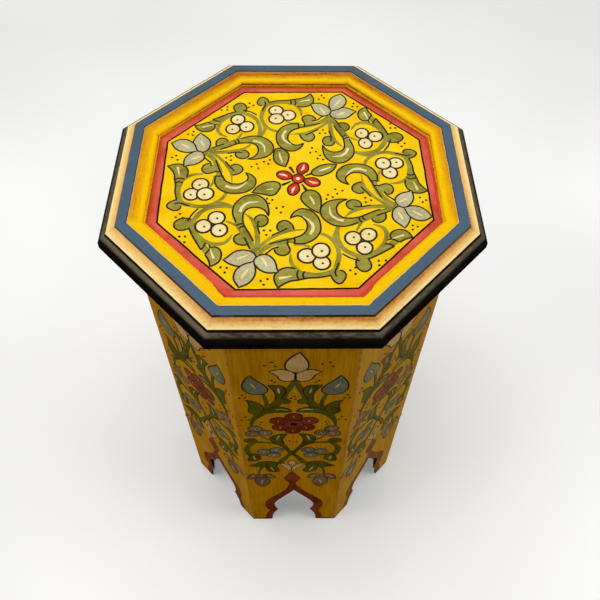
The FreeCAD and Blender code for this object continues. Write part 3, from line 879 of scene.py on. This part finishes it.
@dataclass(frozen=True)
class RimPaint:
    """The mitred moulding: yellow inner face, blue crown, cream slope and brown glaze in the hollows, with
    some painted shade and a painted highlight.
    """

    start: float = 136.0
    end: float = 173.0
    red_end: float = 138.6
    foot: float = 139.0
    straight: float = 149.0
    crown: Point = (151.9, 162.5)
    slope: float = 161.0
    quirk: float = 162.25
    wall: float = 171.3
    middle: Point = (0.9, -0.3, 0.0)
    fade_way: Point = (-0.6, 0.8, 0.0)
    stain_way: Point = (0.38, -0.92, 0.0)
    # Of these bands, the cream slope's pale toward its outer edge: partly the paint's own colour, partly a
    # painted highlight.
    bands: tuple = ((137.0, "#fac30c"), (143.0, "#ffd008"), (151.2, "#ffcb08"), (151.4, "#f4da90"),
                    (151.7, "#f4da90"), (151.9, "#50667c"), (162.5, "#50667c"), (162.7, "#f2bd68"),
                    (165.5, "#f8cb72"), (169.9, "#fde29c"))
    glaze: tuple = ((138.6, "#d4d4d4"), (139.8, "#c4c4c4"), (141.0, "#000000"), (142.6, "#000000"),
                    (144.5, "#b8b8b8"), (147.2, "#f0f0f0"), (149.0, "#fafafa"), (151.3, "#fafafa"),
                    (151.9, "#181818"), (162.0, "#181818"), (162.6, "#ffffff"), (164.6, "#eaeaea"),
                    (166.4, "#a8a8a8"), (169.0, "#808080"), (171.0, "#484848"))

    def material(self) -> Material:
        """Makes the moulding's bands, with streaks along each side and the glaze thinner at the front.

        Returns:
            The material.
        """
        surface = Surface.new("antiqued_moulding_paint", 0.45, 0.03)
        add = surface.add
        right, back, _ = surface.axes()
        out, along = surface.octagon()
        drawn, _ = surface.octagon(self.middle)
        # Streaks run along each side: long in plan and fine across the moulding.
        run = add("CombineXYZ", {0: add("Math.DIVIDE", {0: right, 1: 24.0}),
                                 1: add("Math.DIVIDE", {0: back, 1: 24.0}),
                                 2: add("Math.DIVIDE", {0: out, 1: 1.4})})
        streak = add("TexNoise", {"Vector": run, "Scale": 1.0, "Detail": 4.0}).outputs["Fac"]
        fleck = surface.grain((3.2, 3.2, 3.2), 4.0, 0.6)
        waver = surface.grain((14.0, 14.0, 14.0), 3.0)
        # The inner bands follow the octagon as it was drawn by hand, the outer ones the moulding.
        shift = add("MapRange", {0: waver, 1: 0.3, 2: 0.7, 3: -0.35, 4: 0.35})
        straight = add("MapRange", {0: out, 1: self.straight, 2: self.straight + 2.0})
        guide = add("Mix.FLOAT", {0: straight, 1: drawn, 2: out})
        strayed = add("Math.ADD", {0: guide, 1: shift})
        across = add("MapRange", {0: strayed, 1: self.start, 2: self.end})
        width = self.end - self.start
        bands, depth = (add("ValToRGB", {0: across}, tuple(((r - self.start) / width, c) for r, c in stops))
                        for stops in (self.bands, self.glaze))
        # The red of the border laps onto the moulding with a ragged edge, further at the front.
        daubed = add("MapRange", {0: back, 1: -124.0, 2: -136.0, 4: -4.0})
        kept = add("MapRange", {0: back, 2: 110.0, 4: 0.8})
        edge = add("Math.ADD", {0: add("Math.ADD", {0: drawn, 1: daubed}), 1: kept})
        ragged = add("Math.MULTIPLY_ADD", {0: fleck, 1: 1.6, 2: edge})
        past_red = add("MapRange", {0: ragged, 1: self.red_end, 2: self.red_end + 0.5})
        based = add("Mix.RGBA", {0: past_red, 1: "#d04e37", 2: bands})
        worn = add("ValToRGB", {0: streak}, ((0.28, "#ffe2c4"), (0.42, "#ffffff")))
        mottled = add("ValToRGB", {0: fleck}, ((0.28, "#ffe2c8"), (0.42, "#ffffff")))
        tired = add("Mix.RGBA", {0: 1.0, 1: worn, 2: mottled}, blend_type="MULTIPLY")
        bare = add("Mix.RGBA", {0: 1.0, 1: based, 2: tired}, blend_type="MULTIPLY")
        # The blue crown has faded to grey in clouds, most at the back left.
        begun, ended = (add("MapRange", {0: strayed, 1: place, 2: place + 0.1}) for place in self.crown)
        crown = add("Math.SUBTRACT", {0: begun, 1: ended})
        greyer = add("MapRange", {0: surface.toward(self.fade_way), 1: -100.0, 2: 100.0, 3: 0.45})
        clouds = surface.grain((34.0, 34.0, 34.0), 5.0, 0.8)
        cloudy = add("MapRange", {0: clouds, 1: 0.4, 2: 0.58, 3: 0.1, 4: 0.85})
        faded = add("Math.MULTIPLY", {0: crown, 1: add("Math.MULTIPLY", {0: greyer, 1: cloudy})})
        clean = add("Mix.RGBA", {0: faded, 1: bare, 2: "#4f6066"})
        # Glaze lies on the inner face at the sides and the back, and on the outer slope toward the front. On
        # the inner face it is heaviest and brownest at the back and nearly gone at the front, partly as
        # painted shade.
        flank = add("MapRange", {0: back, 1: -64.0, 2: -56.0, 3: 0.08, 4: 0.6})
        rear = add("MapRange", {0: back, 1: 40.0, 2: 140.0, 4: 0.4})
        inner = add("Math.ADD", {0: flank, 1: rear})
        outer = add("MapRange", {0: surface.toward(self.stain_way), 1: 66.0, 2: 150.0, 3: 0.08})
        sloped = add("MapRange", {0: out, 1: self.slope, 2: self.slope + 0.5})
        far = add("Mix.FLOAT", {0: sloped, 1: inner, 2: outer})
        patchy = add("MapRange", {0: streak, 1: 0.4, 2: 0.6, 3: 1.0, 4: 0.74})
        held = add("Math.MULTIPLY", {0: patchy, 1: far})
        amount = add("Math.MULTIPLY", {0: depth, 1: held})
        orange = add("ValToRGB", {0: fleck}, ((0.34, "#a03c10"), (0.46, "#c04c14"), (0.6, "#c85618")))
        brown = add("ValToRGB", {0: fleck}, ((0.34, "#7a3006"), (0.46, "#a4480e"), (0.6, "#b25212")))
        stain = add("ValToRGB", {0: fleck}, ((0.34, "#90500c"), (0.46, "#b46818"), (0.6, "#c48028")))
        umber = add("Mix.RGBA", {0: add("MapRange", {0: back, 1: 20.0, 2: 130.0}), 1: orange, 2: brown})
        pigment = add("Mix.RGBA", {0: sloped, 1: umber, 2: stain})
        browned = add("Mix.RGBA", {0: amount, 1: clean, 2: pigment})
        # Dark lines run in the mitres, in the quirk toward the front and along the foot toward the back; the
        # line along the foot is glaze and painted shade.
        corner = add("Math.MULTIPLY", {0: out, 1: math.tan(SIDE_TURN / 2)})
        mitre = add("Math.SUBTRACT", {0: corner, 1: along})
        dark = add("MapRange", {0: mitre, 1: 0.2, 2: 0.6, 3: 0.07, 4: 0.0})
        broken = add("MapRange", {0: waver, 1: 0.36, 2: 0.46, 3: 0.5})
        for value, place, half, low, high, strength in ((out, self.quirk, 0.5, 0.0, -140.0, 0.9),
                                                        (drawn, self.foot, 0.45, -60.0, 80.0, 0.75)):
            line = add("Math.COMPARE", {0: value, 1: place, 2: half})
            there = add("MapRange", {0: back, 1: low, 2: high, 4: strength})
            inked = add("Math.MULTIPLY", {0: add("Math.MULTIPLY", {0: line, 1: there}), 1: broken})
            dark = add("Math.MAXIMUM", {0: dark, 1: inked})
        marked = add("Mix.RGBA", {0: dark, 1: browned, 2: "#3a1e0c"})
        outside = add("MapRange", {0: out, 1: self.wall, 2: self.wall + 0.08})
        colour = add("Mix.RGBA", {0: outside, 1: marked, 2: "#14100b"})
        gloss = add("MapRange", {0: streak, 3: 0.34, 4: 0.54})
        return surface.finish(colour, streak, 0.06, gloss)


@dataclass(frozen=True)
class PanelPaint:
    """The body's ochre paint, darker partly as painted shade: upright brush marks over the grain, dirt and
    painted shade toward the top, wear at the corners, and a painted sheen on the front corner sides.
    """

    face: float = 153.4
    inside: float = 146.6
    corner: Point = (61.0, 63.3)
    dirt_and_shade: Point = (BODY_TOP - 52, BODY_TOP - 30)

    def material(self) -> Material:
        """Makes the painted face, the red edge of the arch and the bare inside.

        Returns:
            The material.
        """
        surface = Surface.new("matt_ochre_panel_paint", 0.5, DULL)
        add = surface.add
        out, along = surface.octagon()
        up = surface.axes()[2]
        hairs = surface.grain((2.2, 2.2, 60.0), 4.0, 0.4)
        cloud = surface.grain((30.0, 30.0, 70.0), 4.0)
        fleck = surface.grain((4.0, 4.0, 9.0), 3.0, 0.5)
        mixed = add("Mix.FLOAT", {0: 0.35, 1: hairs, 2: cloud})
        # The ochre is deeper than the top's yellow, partly as painted shade on the upright sides.
        ochre = add("ValToRGB", {0: mixed}, ((0.32, "#b27408"), (0.5, "#ce8d08"), (0.68, "#dba01c")))
        oxblood = add("ValToRGB", {0: hairs}, ((0.35, "#56190a"), (0.55, "#742612"), (0.7, "#86381f")))
        wood = add("ValToRGB", {0: hairs}, ((0.35, "#7c5c38"), (0.5, "#a9855a"), (0.7, "#c09c6e")))
        # Darker and browner toward the top, under the board: dirt and painted shade.
        dirt_and_shade = add("MapRange", {0: up, 1: self.dirt_and_shade[0], 2: self.dirt_and_shade[1], 4: 0.75})
        specks = add("MapRange", {0: fleck, 1: 0.35, 2: 0.65})
        dirtied_and_shaded = add("Mix.RGBA", {0: add("Math.MULTIPLY", {0: dirt_and_shade, 1: specks}), 1: ochre, 2: "#643c0a"})
        corner = add("MapRange", {0: along, 1: self.corner[0], 2: self.corner[1]})
        chips = add("MapRange", {0: fleck, 1: 0.48, 2: 0.66, 4: 0.6})
        worn = add("Mix.RGBA", {0: add("Math.MULTIPLY", {0: corner, 1: chips}), 1: dirtied_and_shaded, 2: "#8a4a24"})
        ragged = add("MapRange", {0: fleck, 3: 3.0, 4: 9.0})
        foot = add("Math.GREATER_THAN", {0: ragged, 1: up})
        footed = add("Mix.RGBA", {0: foot, 1: worn, 2: oxblood})
        outside = add("MapRange", {0: out, 1: self.face, 2: self.face + 0.25})
        soffit = add("Mix.RGBA", {0: outside, 1: oxblood, 2: footed})
        painted = add("MapRange", {0: out, 1: self.inside, 2: self.inside + 0.3})
        colour = add("Mix.RGBA", {0: painted, 1: wood, 2: soffit})
        gloss = add("MapRange", {0: hairs, 3: 0.36, 4: 0.56})
        # A painted sheen is laid over the front corner sides.
        return surface.finish(surface.painted_sheen(colour), hairs, 0.08, gloss)


@dataclass(frozen=True)
class SawnWood:
    """Unpainted softwood from the saw: pale, with long grain and a rough matt face."""

    name: str
    grain: Point

    def material(self) -> Material:
        """Makes the wood with its grain along one axis.

        Returns:
            The material.
        """
        surface = Surface.new(self.name, 0.75, 0.15)
        hairs = surface.grain(self.grain, 5.0, 0.8)
        tone = surface.add("ValToRGB", {0: hairs}, ((0.3, "#8a6740"), (0.5, "#b8925f"), (0.68, "#cfae7c")))
        return surface.finish(tone, hairs, 0.15)


@dataclass(frozen=True)
class DullSteel:
    """Plain drawn steel of screws and nails: grey, slightly mottled, half polished."""

    name: str = "drawn_steel"

    def material(self) -> Material:
        """Makes the steel with a fine mottle.

        Returns:
            The material.
        """
        surface = Surface.new(self.name, 0.4)
        feed(surface.tree, surface.shader, {"Metallic": 1.0})
        mottle = surface.grain((1.5, 1.5, 1.5), 4.0)
        tone = surface.add("ValToRGB", {0: mottle}, ((0.35, "#8f8d88"), (0.65, "#c2c0ba")))
        gloss = surface.add("MapRange", {0: mottle, 3: 0.3, 4: 0.5})
        return surface.finish(tone, mottle, 0.02, gloss)


@dataclass
class Carcass:
    """The CAD pieces, which keep their shape and get their finish."""

    def dress(self) -> None:
        """Gives every CAD node the material of its kind."""
        steel = DullSteel().material()
        families = {"top_board": BoardPaint().material(), "rim_brads": steel, "cleat_screws": steel,
                    "cleat_nails": steel, "rim_": RimPaint().material(), "panel_": PanelPaint().material(),
                    "corner_block_": SawnWood("sawn_pine_upright", (2.5, 2.5, 60.0)).material(),
                    "cleat_": SawnWood("sawn_pine_level", (30.0, 30.0, 2.5)).material()}
        for name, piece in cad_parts.items():
            material = next(finish for start, finish in families.items() if name.startswith(start))
            piece.data.materials.clear()
            piece.data.materials.append(material)
            LOG.info("%s: %s", name, material.name)


@dataclass
class Studio:
    """Plain soft light from above, a pale floor and the camera of the photograph."""

    camera_place: Point = (0.55, -449.3, 1102.6)
    pitch: float = 53.096
    yaw: float = 1.706
    roll: float = -1.328
    focal: float = 668.58
    centre: Point = (306.14, 249.65)
    frame_width: float = 600.0
    floor_radius: float = 9.0
    floor_fade: Point = (1.6, 4.0)

    def camera(self) -> None:
        """Sets the camera where the photograph was taken."""
        data = bpy.data.cameras.new("viewpoint")
        data.sensor_width = 36.0
        data.lens = self.focal / self.frame_width * data.sensor_width
        data.shift_x = (self.frame_width / 2 - self.centre[0]) / self.frame_width
        data.shift_y = (self.centre[1] - self.frame_width / 2) / self.frame_width
        data.clip_end = 100.0
        camera = bpy.data.objects.new("viewpoint", data)
        place = Matrix.Translation(Vector(self.camera_place) * MM)
        for angle, axis in ((-self.yaw, "Z"), (90 - self.pitch, "X"), (-self.roll, "Z")):
            place = place @ Matrix.Rotation(math.radians(angle), 4, axis)
        camera.matrix_world = place
        bpy.context.scene.collection.objects.link(camera)
        bpy.context.scene.camera = camera

    def lamp(self, name: str, place: Point, aim: Point, size: float, power: float) -> None:
        """Hangs one soft square lamp.

        Args:
            name: Its name.
            place: Where it hangs, in metres.
            aim: The point that it faces.
            size: Its side.
            power: Its power in watts.
        """
        data = bpy.data.lights.new(name, "AREA")
        data.size = size
        data.energy = power
        lamp = bpy.data.objects.new(name, data)
        lamp.visible_camera = False
        away = Vector(place) - Vector(aim)
        lamp.matrix_world = Matrix.Translation(place) @ away.to_track_quat("Z", "Y").to_matrix().to_4x4()
        bpy.context.scene.collection.objects.link(lamp)

    def floor(self) -> None:
        """Lays the pale floor, which throws only part of its brightness back onto the table."""
        sheet = bmesh.new()
        bmesh.ops.create_circle(sheet, cap_ends=True, segments=96, radius=self.floor_radius)
        mesh = bpy.data.meshes.new("floor")
        sheet.to_mesh(mesh)
        sheet.free()
        floor = bpy.data.objects.new("floor", mesh)
        bpy.context.scene.collection.objects.link(floor)
        surface = Surface.new("matt_paper_floor", 0.9, 0.05)
        add = surface.add
        seen = self.seen(surface.tree)
        soft = surface.grain((700.0, 700.0, 700.0), 1.0)
        paper = add("ValToRGB", {0: soft}, ((0.35, "#e6e6e4"), (0.65, "#f4f4f2")))
        tone = add("Mix.RGBA", {0: seen, 1: "#828280", 2: paper})
        distance = add("VectorMath.LENGTH", {0: surface.place}).outputs["Value"]
        far = add("MapRange", {0: distance, 1: self.floor_fade[0], 2: self.floor_fade[1]})
        paler = add("Mix.RGBA", {0: far, 1: "#7a7a79", 2: "#dededc"})
        glow = add("Mix.RGBA", {0: seen, 1: "#000000", 2: paler})
        feed(surface.tree, surface.shader, {"Emission Color": glow, "Emission Strength": 1.0})
        mesh.materials.append(surface.finish(tone))

    @staticmethod
    def seen(tree: NodeTree) -> Node:
        """A mask for what the camera sees, also by reflection or through glass."""
        rays = node(tree, "LightPath").outputs
        shine = node(tree, "Math.MAXIMUM", {0: rays["Is Glossy Ray"], 1: rays["Is Transmission Ray"]})
        return node(tree, "Math.MAXIMUM", {0: rays["Is Camera Ray"], 1: shine})

    def world(self) -> None:
        """Sets a pale backdrop that lights the table only dimly."""
        world = bpy.data.worlds.new("studio")
        world.use_nodes = True
        bpy.context.scene.world = world
        tree = world.node_tree
        tone = node(tree, "Mix.RGBA", {0: self.seen(tree), 1: "#4f4f4f", 2: "#f2f2f0"})
        feed(tree, tree.nodes["Background"], {"Color": tone, "Strength": 1.0})

    def build(self) -> None:
        """Sets up the camera, lamps, floor, backdrop and plain view transform."""
        self.camera()
        self.lamp("overhead", (-0.2, 0.35, 4.0), (0.0, 0.0, 0.6), 2.6, 102.0)
        self.lamp("left", (-3.3, -0.7, 1.5), (0.0, 0.0, 0.3), 2.0, 37.0)
        self.lamp("right", (3.3, -0.7, 1.5), (0.0, 0.0, 0.3), 2.0, 46.0)
        self.lamp("front", (0.0, -3.6, 1.3), (0.0, 0.0, 0.3), 2.0, 13.0)
        self.floor()
        self.world()
        bpy.context.scene.view_settings.view_transform = "Standard"


def main() -> None:
    """Builds the table's paint and its studio."""
    logging.basicConfig(level=logging.INFO, format="%(message)s")
    noise.seed_set(HAND_SEED)
    Studio().build()
    Carcass().dress()
    TopOrnament().build()
    PanelOrnament().build()


if __name__ == "__main__":
    main()
